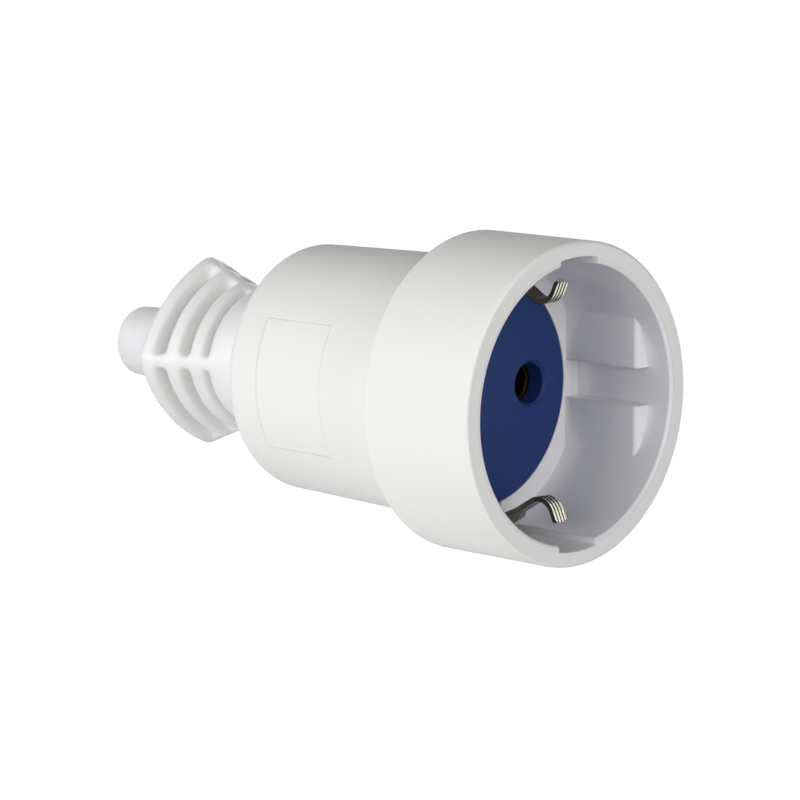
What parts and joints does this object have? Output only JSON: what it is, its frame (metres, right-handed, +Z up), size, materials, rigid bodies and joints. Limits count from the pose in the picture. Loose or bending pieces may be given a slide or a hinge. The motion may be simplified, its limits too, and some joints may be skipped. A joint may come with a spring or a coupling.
{
  "type": "earthed inline socket connector",
  "caption": "Round in-line mains socket for a cord: collar and recess with guide blocks and earth clips, contact disc with pin holes, tapered body, slotted rounded-square bend relief.",
  "frame": {"origin": "centre of the recess at the mouth's front plane", "axes": "+X out of the mouth, the way a plug leaves; Y along the line of the two pin holes; +Z up, along the line of the two earth clips"},
  "size_m": [0.089, 0.0452, 0.0452],
  "materials": {
    "housing_white": "fine matte texture",
    "relief_white": "satin",
    "insert_blue": "satin",
    "contact_brass": "plain",
    "spring_steel": "bright",
    "plated_strip": "nickel plated, bright",
    "plated_screw": "zinc plated"
  },
  "bodies": {
    "root": {"housing": "housing_white", "bend_relief": "relief_white", "contact_carrier": "insert_blue", "terminal_cover": "insert_blue", "cord_clamp_bridge": "insert_blue", "line_contact": "contact_brass", "neutral_contact": "contact_brass", "line_contact_spring": "spring_steel", "neutral_contact_spring": "spring_steel", "line_wire_guard": "spring_steel", "neutral_wire_guard": "spring_steel", "earth_bracket": "plated_strip", "earth_clamp_plate": "plated_strip", "line_terminal_screw": "plated_screw", "neutral_terminal_screw": "plated_screw", "earth_terminal_screw": "plated_screw", "cover_screw_left": "plated_screw", "cover_screw_right": "plated_screw", "cord_clamp_screw_left": "plated_screw", "cord_clamp_screw_right": "plated_screw"}
  },
  "joints": []
}
